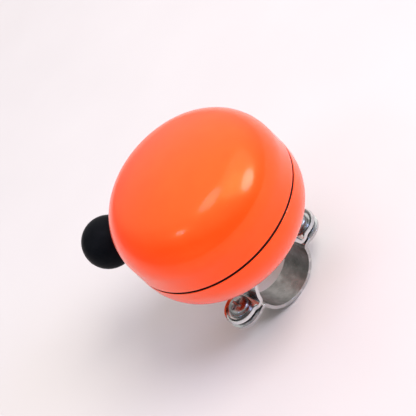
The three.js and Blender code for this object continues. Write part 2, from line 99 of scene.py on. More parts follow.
BAR_R = 11.1 * MM
CLAMP_HALF_W = strap_high.y
BOLT_X = strap_high.x - CLAMP_HALF_W
EAR_Z = strap_high.z - SHEET / 2
SADDLE_TURN = 30 * DEG  # the angle round the bar, up from X, at which the saddle leaves it
PAD_Z = saddle_high.z - SHEET / 2
BAND_BEND_R = 1.3 * MM
SADDLE_FOLD_R = 1.5 * MM
EDGE_ROUND = 0.22 * MM

BOLT_HOLE_R = 2.2 * MM
EAR_RIM_H = 0.8 * MM
EAR_RIM_W = 1.3 * MM
EAR_RIM_START = 13.6 * MM
EAR_RIM_FADE = 1.4 * MM
LOWER_RIM_SHARE = 0.5  # the strap's rims turn down by this share of the saddle's

LEVER_Z = (lever_low.z + lever_high.z) / 2
LEVER_HALF_H = (lever_high.z - lever_low.z) / 2
WINDOW_LOW, WINDOW_HIGH = 122.5 * DEG, 152.5 * DEG
WINDOW_ROOM = 0.8 * MM

THREAD_DEPTH = 0.51  # as a share of the pitch
THREAD_LEAD_IN = 0.8  # as a share of the pitch

SHARP = 35 * DEG


# ---- Mesh helpers ----

def shade(bm, sharp_angle):
    """Smooths the faces and keeps the edges sharper than sharp_angle crisp."""
    for face in bm.faces:
        face.smooth = True
    for edge in bm.edges:
        if len(edge.link_faces) == 2:
            edge.smooth = edge.calc_face_angle(0) < sharp_angle


def add_object(name, bm, material, sharp_angle=SHARP):
    """Makes a smooth-shaded object from a bmesh, and frees the bmesh."""
    bmesh.ops.remove_doubles(bm, verts=bm.verts, dist=1e-7)
    bmesh.ops.recalc_face_normals(bm, faces=bm.faces)
    shade(bm, sharp_angle)
    mesh = bpy.data.meshes.new(name)
    bm.to_mesh(mesh)
    bm.free()
    obj = bpy.data.objects.new(name, mesh)
    bpy.context.collection.objects.link(obj)
    mesh.materials.append(material)
    return obj


def lathe_bmesh(outline, segments):
    """A closed surface from [radius, z] points turned about Z. Points on the axis become poles."""
    bm = bmesh.new()
    rings = []
    for r, z in outline:
        if r < 1e-7:
            rings.append([bm.verts.new((0, 0, z))] * segments)
            continue
        angles = [2 * math.pi * i / segments for i in range(segments)]
        rings.append([bm.verts.new((r * math.cos(a), r * math.sin(a), z)) for a in angles])
    for lower, upper in zip(rings, rings[1:]):
        for i in range(segments):
            j = (i + 1) % segments
            corners = [lower[i], lower[j], upper[j], upper[i]]
            unique = list(dict.fromkeys(corners))
            if len(unique) > 2:
                bm.faces.new(unique)
    return bm


def turned(name, outline, material, segments=96, at=(0, 0, 0)):
    """An object made by turning an outline about the vertical through at."""
    bm = lathe_bmesh(outline, segments)
    bmesh.ops.translate(bm, verts=bm.verts, vec=Vector(at))
    return add_object(name, bm, material)


def arc(cx, cz, r, start, end, steps):
    """Points along an arc, both ends included."""
    angles = [start + (end - start) * i / steps for i in range(steps + 1)]
    return [(cx + r * math.cos(a), cz + r * math.sin(a)) for a in angles]


def prism_bmesh(outline, low, high):
    """A flat outline of (x, y) points given thickness from low to high along Z."""
    bm = bmesh.new()
    bottom = [bm.verts.new((x, y, low)) for x, y in outline]
    top = [bm.verts.new((x, y, high)) for x, y in outline]
    bm.faces.new(bottom)
    bm.faces.new(top)
    for i in range(len(outline)):
        j = (i + 1) % len(outline)
        bm.faces.new([bottom[i], bottom[j], top[j], top[i]])
    return bm


def cut(obj, bm):
    """Takes the closed shape in bm out of obj."""
    cutter = add_object("cutter", bm, obj.data.materials[0])
    modifier = obj.modifiers.new("cut", "BOOLEAN")
    modifier.operation = "DIFFERENCE"
    modifier.solver = "EXACT"
    modifier.object = cutter
    settle(obj)
    bpy.data.objects.remove(cutter)


def settle(obj):
    """Applies the modifiers of obj and sets which of its edges are crisp."""
    graph = bpy.context.evaluated_depsgraph_get()
    mesh = bpy.data.meshes.new_from_object(obj.evaluated_get(graph))
    obj.modifiers.clear()
    obj.data = mesh
    bm = bmesh.new()
    bm.from_mesh(mesh)
    shade(bm, SHARP)
    bm.to_mesh(mesh)
    bm.free()


def soften(obj, width, segments=3):
    """Rounds the sharp edges of obj."""
    modifier = obj.modifiers.new("soften", "BEVEL")
    modifier.width = width
    modifier.segments = segments
    modifier.limit_method = "ANGLE"
    modifier.angle_limit = SHARP
    modifier.harden_normals = False
    settle(obj)


# ---- Materials ----

class Finish:
    """A Principled material whose colour, roughness and bump come from noise in object space."""

    def __init__(self, name, **sockets):
        self.material = bpy.data.materials.new(name)
        self.material.use_nodes = True
        self.nodes = self.material.node_tree.nodes
        self.links = self.material.node_tree.links
        self.shader = self.nodes["Principled BSDF"]
        for socket, value in sockets.items():
            self.shader.inputs[socket.replace("_", " ")].default_value = value
        self.place = self.nodes.new("ShaderNodeTexCoord").outputs["Object"]

    def noise(self, size, detail=3, stretch=(1, 1, 1), roughness=0.55):
        """Noise whose features are about size metres across."""
        mapping = self.nodes.new("ShaderNodeMapping")
        mapping.inputs["Scale"].default_value = stretch
        self.links.new(self.place, mapping.inputs["Vector"])
        texture = self.nodes.new("ShaderNodeTexNoise")
        texture.inputs["Scale"].default_value = 1 / size
        texture.inputs["Detail"].default_value = detail
        texture.inputs["Roughness"].default_value = roughness
        self.links.new(mapping.outputs["Vector"], texture.inputs["Vector"])
        return texture.outputs["Fac"]

    def specks(self, size, radius):
        """1 inside small round specks and 0 elsewhere."""
        texture = self.nodes.new("ShaderNodeTexVoronoi")
        texture.inputs["Scale"].default_value = 1 / size
        self.links.new(self.place, texture.inputs["Vector"])
        return self.fitted(texture.outputs["Distance"], radius, radius * 0.5, 0, 1)

    def wear(self, low, high):
        """0 on flat faces, rising to 1 on outer edges."""
        pointiness = self.nodes.new("ShaderNodeNewGeometry").outputs["Pointiness"]
        return self.fitted(pointiness, low, high, 0, 1)

    def fitted(self, value, from_low, from_high, to_low, to_high):
        """A socket that maps one range onto another, held at both ends."""
        node = self.nodes.new("ShaderNodeMapRange")
        settings = [from_low, from_high, to_low, to_high]
        for socket, number in zip(("From Min", "From Max", "To Min", "To Max"), settings):
            node.inputs[socket].default_value = number
        self.links.new(value, node.inputs["Value"])
        return node.outputs["Result"]

    def mixed(self, factor, first, second):
        """Colour first where factor is 0 and second where it is 1. Each is a colour or a socket."""
        node = self.nodes.new("ShaderNodeMix")
        node.data_type = "RGBA"
        self.links.new(factor, node.inputs["Factor"])
        for name, colour in (("A", first), ("B", second)):
            socket = next(s for s in node.inputs if s.name == name and s.type == "RGBA")
            if isinstance(colour, tuple):
                socket.default_value = (*colour, 1)
            else:
                self.links.new(colour, socket)
        return next(s for s in node.outputs if s.type == "RGBA")

    def colour(self, socket):
        """Sets the base colour from a socket."""
        self.links.new(socket, self.shader.inputs["Base Color"])

    def roughness(self, value, low, high, from_low=0.3, from_high=0.7):
        """Sets the roughness to run from low to high as value does."""
        fitted = self.fitted(value, from_low, from_high, low, high)
        self.links.new(fitted, self.shader.inputs["Roughness"])

    def bump(self, *layers):
        """Each layer is (height socket, depth in metres). Later layers lie on earlier ones."""
        normal = None
        for height, depth in layers:
            node = self.nodes.new("ShaderNodeBump")
            node.inputs["Strength"].default_value = 1
            node.inputs["Distance"].default_value = depth
            self.links.new(height, node.inputs["Height"])
            if normal is not None:
                self.links.new(normal, node.inputs["Normal"])
            normal = node.outputs["Normal"]
        self.links.new(normal, self.shader.inputs["Normal"])


def enamel():
    """Glossy orange stove enamel: faint orange peel, tiny inclusions, thinner paint on edges."""
    finish = Finish(
        "orange_enamel",
        Coat_Weight=0.25, Coat_Roughness=0.06, Coat_IOR=1.5,
        Specular_IOR_Level=0.62, Specular_Tint=(1, 0.9, 0.2, 1),
    )
    cloud = finish.fitted(finish.noise(9 * MM), 0.3, 0.7, 0, 1)
    base = finish.mixed(cloud, (0.95, 0.039, 0.002), (0.95, 0.045, 0.003))
    edged = finish.mixed(finish.wear(0.53, 0.6), base, (0.8, 0.045, 0.004))
    dusty = finish.mixed(finish.specks(2.6 * MM, 0.03), edged, (0.75, 0.12, 0.04))
    finish.colour(dusty)
    finish.roughness(finish.noise(4 * MM, detail=5), 0.2, 0.27)
    peel = finish.noise(0.9 * MM, detail=2)
    finish.bump((finish.noise(14 * MM, detail=1), 0.00002), (peel, 0.0000015))
    return finish.material


def seam_shade_finish():
    """Near-black paint on the hidden side of the domes: painted shade, so the seam gap reads dark."""
    finish = Finish("painted_seam_shade", Specular_IOR_Level=0.15)
    cloud = finish.fitted(finish.noise(4 * MM, detail=5), 0.3, 0.7, 0, 1)
    finish.colour(finish.mixed(cloud, (0.004, 0.0037, 0.0037), (0.012, 0.011, 0.011)))
    finish.roughness(finish.noise(1.5 * MM, detail=5), 0.6, 0.8)
    finish.bump((finish.noise(0.5 * MM, detail=4), 0.00001))
    return finish.material


def knob_plastic():
    """Black moulded plastic with a fine grain and a few pale specks."""
    finish = Finish("black_plastic", Specular_IOR_Level=0.05, IOR=1.35)
    cloud = finish.fitted(finish.noise(5 * MM), 0.3, 0.7, 0, 1)
    base = finish.mixed(cloud, (0.002, 0.0024, 0.0036), (0.004, 0.0045, 0.006))
    finish.colour(finish.mixed(finish.specks(1.8 * MM, 0.04), base, (0.03, 0.03, 0.032)))
    finish.roughness(finish.noise(1.5 * MM, detail=6), 0.34, 0.5)
    finish.bump((finish.noise(0.35 * MM, detail=3), 0.000006), (finish.noise(3 * MM), 0.00003))
    return finish.material


def zinc(name, dark, light, worn, low_rough, high_rough):
    """Zinc plate on rolled steel: cloudy patches, fine rolling lines and worn edges."""
    finish = Finish(name, Metallic=1.0)
    cloud = finish.fitted(finish.noise(3.5 * MM, detail=6), 0.35, 0.65, 0, 1)
    base = finish.mixed(cloud, dark, light)
    finish.colour(finish.mixed(finish.wear(0.52, 0.58), base, worn))
    finish.roughness(finish.noise(1.2 * MM, detail=6), low_rough, high_rough)
    lines = finish.noise(0.35 * MM, detail=4, stretch=(0.12, 1, 1))
    finish.bump((lines, 0.000002), (finish.noise(1.6 * MM, detail=5), 0.00001))
    return finish.material


def spring_steel():
    """Bare spring steel with fine drawing lines."""
    finish = Finish("spring_steel", Metallic=1.0)
    cloud = finish.fitted(finish.noise(2 * MM, detail=5), 0.35, 0.65, 0, 1)
    finish.colour(finish.mixed(cloud, (0.2, 0.2, 0.21), (0.32, 0.32, 0.33)))
    finish.roughness(finish.noise(0.8 * MM, detail=5), 0.22, 0.4)
    finish.bump((finish.noise(0.3 * MM, detail=4, stretch=(1, 1, 0.2)), 0.000005))
    return finish.material


def brass():
    """Machined brass, brighter on its edges."""
    finish = Finish("machined_brass", Metallic=1.0)
    cloud = finish.fitted(finish.noise(3 * MM, detail=5), 0.35, 0.65, 0, 1)
    base = finish.mixed(cloud, (0.55, 0.36, 0.13), (0.66, 0.47, 0.2))
    finish.colour(finish.mixed(finish.wear(0.52, 0.6), base, (0.8, 0.62, 0.32)))
    finish.roughness(finish.noise(0.7 * MM, detail=5), 0.22, 0.4)
    finish.bump((finish.noise(0.25 * MM, detail=4, stretch=(1, 0.15, 1)), 0.000004))
    return finish.material


def fibre():
    """Matt, nearly black vulcanised fibre."""
    finish = Finish("vulcanised_fibre")
    cloud = finish.fitted(finish.noise(1.2 * MM, detail=6), 0.3, 0.7, 0, 1)
    finish.colour(finish.mixed(cloud, (0.008, 0.0075, 0.007), (0.02, 0.019, 0.018)))
    finish.roughness(finish.noise(0.6 * MM, detail=5), 0.6, 0.85)
    finish.bump((finish.noise(0.3 * MM, detail=5, stretch=(1, 1, 3)), 0.00003))
    return finish.material


def floor_paper():
    """The plain floor."""
    finish = Finish("pale_floor")
    cloud = finish.fitted(finish.noise(60 * MM, detail=2), 0.3, 0.7, 0, 1)
    finish.colour(finish.mixed(cloud, (0.47, 0.435, 0.43), (0.485, 0.45, 0.445)))
    finish.roughness(finish.noise(20 * MM), 0.7, 0.8)
    finish.bump((finish.noise(0.8 * MM, detail=4), 0.00002))
    return finish.material


# Near-black paint standing in for the shade inside the domes and in the seam gap.
SEAM_SHADE = seam_shade_finish()
# A much darker, rougher zinc for the inside of the clamp bands: the darkness is painted shade in the
# handlebar's bore.
BORE_SHADE_ZINC = zinc(
    "zinc_with_bore_shade",
    dark=(0.16, 0.155, 0.15), light=(0.26, 0.25, 0.245), worn=(0.36, 0.36, 0.36),
    low_rough=0.26, high_rough=0.4,
)
SCREW_ZINC = zinc(
    "screw_zinc",
    dark=(0.2, 0.205, 0.21), light=(0.3, 0.31, 0.315), worn=(0.5, 0.5, 0.5),
    low_rough=0.2, high_rough=0.34,
)
LOOKS = {
    "dome_paint": enamel(),
    "knob_plastic": knob_plastic(),
    "zinc_steel": zinc(
        "zinc_plate",
        dark=(0.4, 0.415, 0.42), light=(0.54, 0.555, 0.56), worn=(0.68, 0.69, 0.69),
        low_rough=0.14, high_rough=0.28,
    ),
    "spring_steel": spring_steel(),
    "brass": brass(),
    "fibre": fibre(),
}


def stands_for(obj, node):
    """obj is the detailed form of a CAD node, on the same body."""
    body = next(b for b, nodes in frame["record"]["behaviour"]["bodies"].items() if node in nodes)
    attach(obj, body)
    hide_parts(node)


# ---- Domes ----

def dome_side(band_h, draft, inset, band_steps=6, shoulder_steps=40, crown_steps=30):
    """One side of a dome wall from just off its rim to the axis, as (radius, height above seam)."""
    shoulder_x = BELL_R - draft - SHOULDER_R
    crown_z = band_h - math.sqrt((CROWN_R - SHOULDER_R) ** 2 - shoulder_x**2)
    meet = math.atan2(band_h - crown_z, shoulder_x)
    start = SEAM_GAP / 2 + RIM_ROUND
    band = []
    for i in range(band_steps):
        h = start + (band_h - start) * i / band_steps
        band.append((BELL_R - inset - draft * h / band_h, h))
    shoulder = arc(shoulder_x, band_h, SHOULDER_R - inset, 0, meet, shoulder_steps)
    crown = arc(0, crown_z, CROWN_R - inset, meet, math.pi / 2, crown_steps)
    return band + shoulder + crown[1:-1] + [(0, crown[-1][1])]


def rolled_rim(outer_r, inner_r):
    """The rounded edge of the sheet, from the outer wall to the inner one."""
    face = SEAM_GAP / 2
    outer = arc(outer_r - RIM_ROUND, face + RIM_ROUND, RIM_ROUND, 0, -math.pi / 2, 6)
    inner = arc(inner_r + RIM_ROUND, face + RIM_ROUND, RIM_ROUND, -math.pi / 2, -math.pi, 6)
    return outer + inner


def paint_seam_shade(dome):
    """Paints near-black the faces that look at the middle of the bell, and most of the rim: painted
    shade for the seam gap.
    """
    dome.data.materials.append(SEAM_SHADE)
    middle = Vector((0, 0, SEAM_Z))
    for face in dome.data.polygons:
        to_face = face.center - middle
        behind_edge = math.hypot(to_face.x, to_face.y) < BELL_R - PAINT_EDGE
        shaded_rim = behind_edge and abs(to_face.z) < SEAM_GAP
        # Inside faces and the rim faces inwards of the orange get the near-black painted shade.
        if face.normal.dot(to_face) < 0 or shaded_rim:
            face.material_index = 1


def top_dome():
    """The upper pressing, with a rolled rim at the seam."""
    outer = dome_side(TOP_BAND_H, TOP_DRAFT, 0)
    inner = dome_side(TOP_BAND_H, TOP_DRAFT, SHEET)
    outline = outer[::-1] + rolled_rim(outer[0][0], inner[0][0])[1:-1] + inner
    points = [(r, SEAM_Z + h) for r, h in outline]
    dome = turned("top_dome_enamel", points, LOOKS["dome_paint"], segments=192)
    paint_seam_shade(dome)
    stands_for(dome, "top_dome")


def above_flat(side, z):
    """The part of a lower dome's side above the flat z, ending where it meets the flat."""
    kept = [point for point in side if point[1] > z]
    (r1, z1), (r2, z2) = kept[-1], side[len(kept)]
    return kept + [(r1 + (r2 - r1) * (z1 - z) / (z1 - z2), z)]


def lower_shell():
    """The lower pressing: a flat seat with a hole for the screw, and the lever's window."""
    sides = []
    for inset, floor in ((0, shell_low.z), (SHEET, shell_low.z + SHEET)):
        side = [(r, SEAM_Z - h) for r, h in dome_side(LOWER_BAND_H, 0, inset)]
        sides.append(above_flat(side, floor))
    outer, inner = sides
    rim = [(r, SEAM_Z - h) for r, h in rolled_rim(outer[0][0], inner[0][0])]
    hole = [(HOLE_R, inner[-1][1]), (HOLE_R, outer[-1][1])]
    outline = outer[::-1] + rim[1:-1] + inner + hole + [outer[-1]]
    shell = turned("lower_shell_enamel", outline, LOOKS["dome_paint"], segments=192)
    cut(shell, lever_window())
    paint_seam_shade(shell)
    stands_for(shell, "lower_shell")


def lever_window():
    """A radial cutter for the slot the lever swings in: a long slot with round ends."""
    half_h = LEVER_HALF_H + WINDOW_ROOM
    low, high = WINDOW_LOW + half_h / BELL_R, WINDOW_HIGH - half_h / BELL_R
    outline = []
    for azimuth, start in ((high, -90 * DEG), (low, 90 * DEG)):
        for i in range(13):
            angle = start + i * 15 * DEG
            around = azimuth + half_h * math.cos(angle) / BELL_R
            outline.append((around, LEVER_Z + half_h * math.sin(angle)))
    bm = bmesh.new()
    rings = []
    inside, outside = BELL_R - 6 * MM, BELL_R + 2 * MM
    for r in (inside, outside):
        rings.append([bm.verts.new((r * math.cos(a), r * math.sin(a), z)) for a, z in spread(outline)])
        bm.faces.new(rings[-1])
    for i in range(len(rings[0])):
        j = (i + 1) % len(rings[0])
        bm.faces.new([rings[0][i], rings[0][j], rings[1][j], rings[1][i]])
    bmesh.ops.triangulate(bm, faces=bm.faces)
    return bm


def spread(outline, steps=10):
    """Adds points along the two long sides of the slot, so that they follow the wall round."""
    points = []
    for i, point in enumerate(outline):
        points.append(point)
        after = outline[(i + 1) % len(outline)]
        if abs(after[0] - point[0]) > 5 * DEG:
            for k in range(1, steps):
                share = k / steps
                around = point[0] + (after[0] - point[0]) * share
                points.append((around, point[1] + (after[1] - point[1]) * share))
    return points


# ---- Lever knob ----

def knob_outline(steps=64):
    """The collar and the ball as (radius, distance along the lever) points."""
    collar_r = 3.9 * MM
    collar_end = -(KNOB_R + 0.5 * MM)
    chamfer = 0.3 * MM
    collar = [(0, collar_end), (collar_r - chamfer, collar_end), (collar_r, collar_end + chamfer)]
    start = math.pi - math.asin(collar_r / KNOB_R)
    ball = []
    for i in range(steps):
        angle = start * (1 - i / steps)
        ball.append((KNOB_R * math.sin(angle), KNOB_R * math.cos(angle)))
    return collar + ball + [(0, KNOB_R)]


def raise_parting_line(bm, height=0.05 * MM, width=0.12 * MM):
    """Lifts a faint moulding line round the ball, in the level plane through its middle."""
    for vert in bm.verts:
        share = math.exp(-((vert.co.z / width) ** 2))
        vert.co += vert.co.normalized() * height * share


def lever_socket():
    """A cutter for the slot in the ball that the lever's end goes into."""
    half_w, half_h = 2.75 * MM, LEVER_HALF_H + 0.1 * MM
    outside, end = -2 * KNOB_R, 2.3 * MM
    middle_z = LEVER_Z - KNOB_CENTRE.z
    outline = [(outside, -half_w), (end, -half_w), (end, half_w), (outside, half_w)]
    return prism_bmesh(outline, middle_z - half_h, middle_z + half_h)


def knob():
    """A moulded ball with a short collar where the lever goes in and a faint parting line."""
    bm = lathe_bmesh(knob_outline(), 96)
    bmesh.ops.rotate(bm, verts=bm.verts, cent=(0, 0, 0), matrix=Matrix.Rotation(90 * DEG, 3, "Y"))
    raise_parting_line(bm)
    along = KNOB_CENTRE - Vector((PIVOT.x, PIVOT.y, KNOB_CENTRE.z))
    place = Matrix.Translation(KNOB_CENTRE) @ Matrix.Rotation(math.atan2(along.y, along.x), 4, "Z")
    bmesh.ops.transform(bm, verts=bm.verts, matrix=place)
    ball = add_object("lever_ball", bm, LOOKS["knob_plastic"])
    socket_bm = lever_socket()
    bmesh.ops.transform(socket_bm, verts=socket_bm.verts, matrix=place)
    cut(ball, socket_bm)
    stands_for(ball, "lever_knob")


# ---- Clamp pressings ----

def smooth_step(t):
    """Rises from 0 at t = 0 to 1 at t = 1, level at both ends."""
    t = min(max(t, 0), 1)
    return t * t * (3 - 2 * t)


def ear_rim(x, y):
    """How far the ear's edge is turned up at (x, y)."""
    along = abs(x) - BOLT_X
    to_edge = CLAMP_HALF_W - (math.hypot(along, y) if along > 0 else abs(y))
    rise = smooth_step(1 - to_edge / EAR_RIM_W)
    fade = smooth_step((abs(x) - EAR_RIM_START) / EAR_RIM_FADE)
    return EAR_RIM_H * rise * fade


def half_band(up):
    """The mid-sheet line of one clamp half in X and Z, for X from the ear's root to the middle."""
    mid_r = BAR_R + SHEET / 2
    level = abs(EAR_Z)
    bend_z = level + BAND_BEND_R
    root_x = math.sqrt((mid_r + BAND_BEND_R) ** 2 - bend_z**2)
    touch = math.atan2(bend_z, root_x)
    points = arc(root_x, bend_z, BAND_BEND_R, -math.pi / 2, -math.pi + touch, 8)
    if not up:
        points += arc(0, 0, mid_r, touch, math.pi / 2, 40)[1:]
        return root_x, [(x, -z) for x, z in points]
    points += arc(0, 0, mid_r, touch, SADDLE_TURN, 14)[1:]
    slope = Vector((-math.sin(SADDLE_TURN), math.cos(SADDLE_TURN)))
    foot = Vector((mid_r * math.cos(SADDLE_TURN), mid_r * math.sin(SADDLE_TURN)))
    corner = foot + slope * ((PAD_Z - foot.y) / slope.y)
    tangent = SADDLE_FOLD_R * math.tan((math.pi / 2 - SADDLE_TURN) / 2)
    end = corner - slope * tangent
    centre = Vector((end.x - SADDLE_FOLD_R * slope.y, end.y + SADDLE_FOLD_R * slope.x))
    points += [tuple(foot + (end - foot) * t / 6) for t in range(1, 6)]
    points += arc(centre.x, centre.y, SADDLE_FOLD_R, SADDLE_TURN, math.pi / 2, 8)
    last = points[-1][0]
    points += [(last * (1 - t / 4), PAD_Z) for t in range(1, 5)]
    return root_x, points


def ear_faces(bm, side, root_x, level, columns):
    """One ear round its bolt hole, in rings from the hole out, meeting the band at X = root_x."""
    edge = [(root_x, y) for y in columns]
    edge += [(root_x + (BOLT_X - root_x) * i / 6, CLAMP_HALF_W) for i in range(1, 6)]
    for i in range(33):
        angle = math.pi / 2 - math.pi * i / 32
        edge.append((BOLT_X + CLAMP_HALF_W * math.cos(angle), CLAMP_HALF_W * math.sin(angle)))
    edge += [(root_x + (BOLT_X - root_x) * i / 6, -CLAMP_HALF_W) for i in range(5, 0, -1)]
    shares = [0, 0.3, 0.5, 0.62, 0.72, 0.8, 0.87, 0.94, 1]
    rings = []
    for share in shares:
        ring = []
        for x, y in edge:
            out = Vector((x - BOLT_X, y))
            spot = out.normalized() * BOLT_HOLE_R * (1 - share) + out * share
            x_here, y_here = BOLT_X + spot.x, spot.y
            rise = ear_rim(x_here, y_here) * (1 if level > 0 else -LOWER_RIM_SHARE)
            ring.append(bm.verts.new((side * x_here, y_here, level + rise)))
        rings.append(ring)
    for inner, outer in zip(rings, rings[1:]):
        for i in range(len(edge)):
            j = (i + 1) % len(edge)
            bm.faces.new([inner[i], inner[j], outer[j], outer[i]])


def clamp_half(name, node, up):
    """A pressed steel strap: ears with rims turned away from each other, and a band between."""
    columns = [CLAMP_HALF_W * math.sin(t * math.pi / 32) for t in range(-16, 17)]
    root_x, side_points = half_band(up)
    level = EAR_Z if not up else -EAR_Z
    path = side_points + [(-x, z) for x, z in side_points[-2::-1]]
    bm = bmesh.new()
    rows = [[bm.verts.new((x, y, z)) for y in columns] for x, z in path]
    for first, second in zip(rows, rows[1:]):
        for i in range(len(columns) - 1):
            bm.faces.new([first[i], first[i + 1], second[i + 1], second[i]])
    for side in (-1, 1):
        ear_faces(bm, side, root_x, level, columns)
    half = add_object(name, bm, LOOKS["zinc_steel"])
    thicken = half.modifiers.new("thickness", "SOLIDIFY")
    thicken.thickness = SHEET
    thicken.offset = 0
    thicken.use_even_offset = True
    settle(half)
    if up:
        above = PAD_Z + SHEET
        cut(half, lathe_bmesh([(0, BAR_R), (HOLE_R, BAR_R), (HOLE_R, above), (0, above)], 48))
    soften(half, EDGE_ROUND)
    paint_bore_shade(half)
    stands_for(half, node)


def paint_bore_shade(half):
    """Gives the inside of a clamp band, the faces that look at the handlebar's axis, a much darker and
    rougher zinc: the darkness is painted shade in the bore.
    """
    half.data.materials.append(BORE_SHADE_ZINC)
    facing = -0.6
    for face in half.data.polygons:
        across = Vector((face.center.x, 0, face.center.z))
        on_band = abs(face.center.x) < BAR_R + SHEET
        # Faces looking at the bar's axis take the darker zinc, painted shade in the bore.
        if on_band and face.normal.dot(across.normalized()) < facing:
            face.material_index = 1


# ---- Fasteners ----

def threaded(bm, r, pitch, low, high, axis_x=0, segments=40):
    """A threaded rod with real ridges, from low to high, its crest at radius r."""
    depth = THREAD_DEPTH * pitch
    steps = max(2, round((high - low) / pitch * 8))
    rows = []
    for k in range(steps + 1):
        z = low + (high - low) * k / steps
        row = []
        for i in range(segments):
            angle = 2 * math.pi * i / segments
            phase = ((z - low) / pitch - i / segments) % 1
            taper = min(1, (z - low) / (THREAD_LEAD_IN * pitch))
            ridge = abs(2 * phase - 1)
            here = r - depth * (1 - ridge) - depth * (1 - taper) * ridge
            row.append(bm.verts.new((axis_x + here * math.cos(angle), here * math.sin(angle), z)))
        rows.append(row)
    for first, second in zip(rows, rows[1:]):
        for i in range(segments):
            j = (i + 1) % segments
            bm.faces.new([first[i], first[j], second[j], second[i]])
    bm.faces.new(rows[0])
    bm.faces.new(rows[-1])


def cut_cross(head, x, z, up, arm=2.2 * MM, width=1.1 * MM, depth=1.1 * MM):
    """Cuts a cross recess into a screw's head, its walls leaning in as they go down."""
    sign = 1 if up else -1
    mouth, floor = (0.2 * MM, 1.05), (-depth, 0.55)
    for turn in (0, 90 * DEG):
        bm = bmesh.new()
        corners = []
        for level, scale in (mouth, floor):
            for sx, sy in ((-1, -1), (1, -1), (1, 1), (-1, 1)):
                flat = Vector((sx * arm * scale, sy * width / 2 * scale))
                flat.rotate(Matrix.Rotation(turn, 2))
                corners.append(bm.verts.new((x + flat.x, flat.y, z + sign * level)))
        low, high = corners[4:], corners[:4]
        bm.faces.new(low)
        bm.faces.new(high)
        for i in range(4):
            j = (i + 1) % 4
            bm.faces.new([high[i], high[j], low[j], low[i]])
        cut(head, bm)


def round_head(head_r, seat, top, steps=16):
    """The outline of a round head: a short upright skirt, then a crown fuller than an ellipse."""
    edge, skirt_h = 0.25 * MM, 0.9 * MM
    skirt_top = seat + skirt_h
    outline = [(0, seat), (head_r - edge, seat), (head_r, seat + edge), (head_r, skirt_top)]
    for i in range(1, steps):
        angle = i / steps * math.pi / 2
        r = head_r * math.cos(angle) ** 0.7
        outline.append((r, skirt_top + (top - skirt_top) * math.sin(angle) ** 0.8))
    return outline + [(0, top)]


def clamp_screw(node):
    """A round-headed M4 screw with a cross recess and a real thread."""
    low, high = (Vector(corner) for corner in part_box(node))
    x = (low.x + high.x) / 2
    head_h = 2.4 * MM
    seat = high.z - head_h
    outline = round_head((high.x - low.x) / 2, seat, high.z)
    head = turned(node + "_head", outline, SCREW_ZINC, segments=72, at=(x, 0, 0))
    cut_cross(head, x, high.z, True)
    soften(head, 0.08 * MM, 2)
    shank_bm = bmesh.new()
    threaded(shank_bm, 1.98 * MM, 0.7 * MM, low.z, seat + 0.05 * MM, axis_x=x)
    shank = add_object(node + "_shank", shank_bm, SCREW_ZINC, sharp_angle=70 * DEG)
    shank.parent = head
    stands_for(head, node)


def clamp_nut(node):
    """A hexagon nut with chamfered corners."""
    low, high = (Vector(corner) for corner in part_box(node))
    x = (low.x + high.x) / 2
    flat_r = (high.y - low.y) / 2
    bore_r = 2.1 * MM
    bore_chamfer = 0.25 * MM
    face_r = flat_r * 0.98
    slope = 1.732  # of the corner chamfers, 30 degrees from the faces
    segments = 96
    levels = [low.z, low.z + 0.15 * MM, low.z + 0.4 * MM, low.z + 0.7 * MM]
    levels += [low.z + high.z - z for z in reversed(levels)]
    bm = bmesh.new()
    rings = []
    for z in [levels[0]] + levels + [levels[-1]]:
        ring = []
        inner = len(rings) in (0, len(levels) + 1)
        for i in range(segments):
            angle = 2 * math.pi * i / segments
            hexagon = flat_r / math.cos((angle % (60 * DEG)) - 30 * DEG)
            cone = face_r + min(z - low.z, high.z - z) * slope
            r = bore_r + bore_chamfer if inner else min(hexagon, cone)
            ring.append(bm.verts.new((x + r * math.cos(angle), r * math.sin(angle), z)))
        rings.append(ring)
    for z in (high.z - 0.3 * MM, low.z + 0.3 * MM):
        angles = [2 * math.pi * i / segments for i in range(segments)]
        rings.append([bm.verts.new((x + bore_r * math.cos(a), bore_r * math.sin(a), z)) for a in angles])
    rings.append(rings[0])
    for first, second in zip(rings, rings[1:]):
        for i in range(segments):
            j = (i + 1) % segments
            bm.faces.new([first[i], first[j], second[j], second[i]])
    nut = add_object(node + "_hex", bm, LOOKS["zinc_steel"], sharp_angle=24 * DEG)
    stands_for(nut, node)


def base_screw():
    """The screw under the bell that holds the saddle: a low head, a neck and a threaded shank."""
    low, high = (Vector(corner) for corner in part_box("base_screw"))
    head_r = high.x
    shoulder = low.z + 1.3 * MM
    edge = 0.35 * MM
    neck_r, neck_top = 2.4 * MM, shoulder + 1.2 * MM
    outline = [(0, low.z), (head_r - edge, low.z)]
    outline += arc(head_r - edge, low.z + edge, edge, -math.pi / 2, 0, 5)[1:]
    outline += [(head_r, shoulder), (neck_r, shoulder), (neck_r, neck_top), (0, neck_top)]
    head = turned("base_screw_head", outline, LOOKS["zinc_steel"])
    cut_cross(head, 0, low.z, False, arm=2.5 * MM, depth=0.8 * MM)
    shank_bm = bmesh.new()
    threaded(shank_bm, 2.48 * MM, 0.8 * MM, shoulder + 1 * MM, high.z)
    shank = add_object("base_screw_shank", shank_bm, LOOKS["zinc_steel"], sharp_angle=70 * DEG)
    shank.parent = head
    stands_for(head, "base_screw")


def fine_ring(name, node, slot, inner_r, round_r):
    """A washer, disc or sleeve with rounded edges, where the CAD ring of that node is."""
    low, high = (Vector(corner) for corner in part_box(node))
    centre = ((low.x + high.x) / 2, (low.y + high.y) / 2, 0)
    outer_r = (high.x - low.x) / 2
    outline = []
    corners = [
        (outer_r, low.z, -1, 1),
        (outer_r, high.z, 1, 1),
        (inner_r, high.z, 1, -1),
        (inner_r, low.z, -1, -1),
    ]
    starts = [-90, 0, 90, 180]
    for (r, z, up, out), start in zip(corners, starts):
        outline += arc(r - out * round_r, z - up * round_r, round_r, start * DEG, (start + 90) * DEG, 4)
    piece = turned(name, outline + [outline[0]], LOOKS[slot], segments=72, at=centre)
    stands_for(piece, node)


# ---- CAD nodes that keep their shape ----

